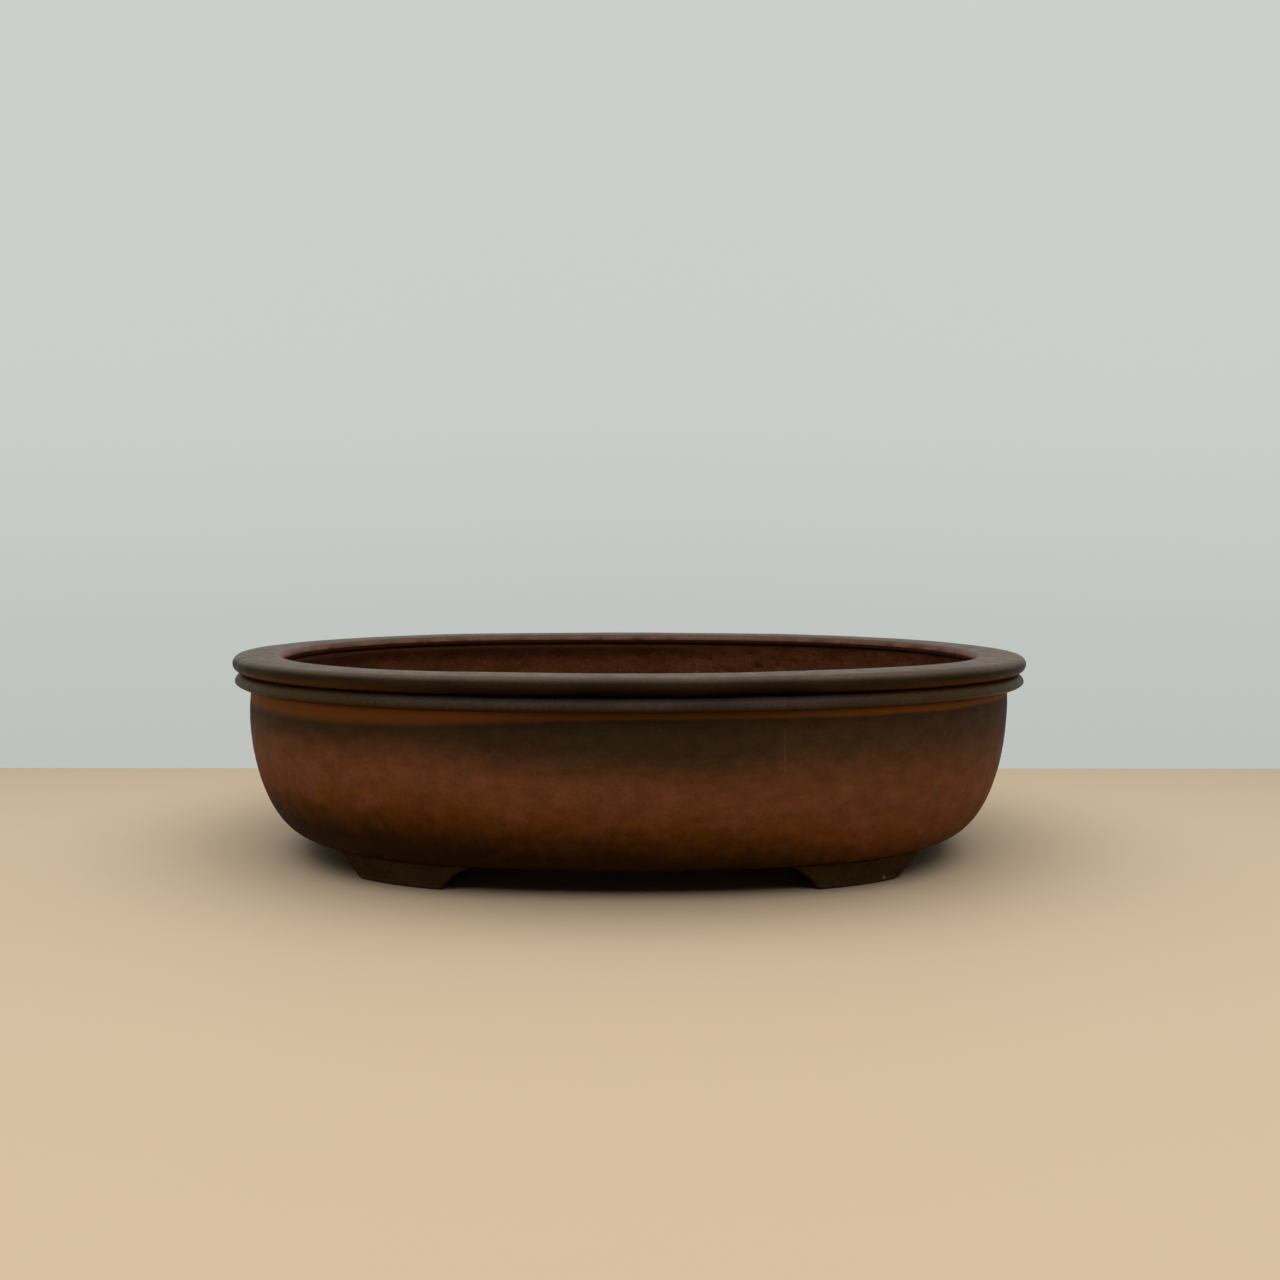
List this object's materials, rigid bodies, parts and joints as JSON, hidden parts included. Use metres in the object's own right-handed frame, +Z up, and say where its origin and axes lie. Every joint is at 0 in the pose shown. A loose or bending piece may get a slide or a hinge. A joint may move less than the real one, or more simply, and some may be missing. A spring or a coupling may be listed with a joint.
{
  "type": "bonsai pot",
  "caption": "Oval unglazed stoneware bonsai pot: thick overhanging rim, belt moulding, curved-in wall, bracket feet, and drain holes covered by net held with bent wire.",
  "frame": {"origin": "on the table under the centre of the pot's oval footprint", "axes": "+X along the pot's length to its right end, +Y to its back, +Z up"},
  "size_m": [0.36, 0.28, 0.0886],
  "materials": {
    "clay_body": "matte, unglazed, iron-flashed",
    "clay_inside": "rough, unglazed",
    "clay_rim": "satin, burnished",
    "clay_feet": "matte",
    "net_plastic": "matte",
    "clip_wire": "drawn, slightly dull"
  },
  "bodies": {
    "root": {"bowl_wall": "clay_body", "floor_slab": "clay_body", "seam_coil": "clay_inside", "rim_lip": "clay_rim", "belt_band": "clay_rim", "front_left_foot": "clay_feet", "front_right_foot": "clay_feet", "back_left_foot": "clay_feet", "back_right_foot": "clay_feet", "left_drain_screen": "net_plastic", "right_drain_screen": "net_plastic", "left_screen_clip": "clip_wire", "right_screen_clip": "clip_wire"}
  },
  "joints": []
}
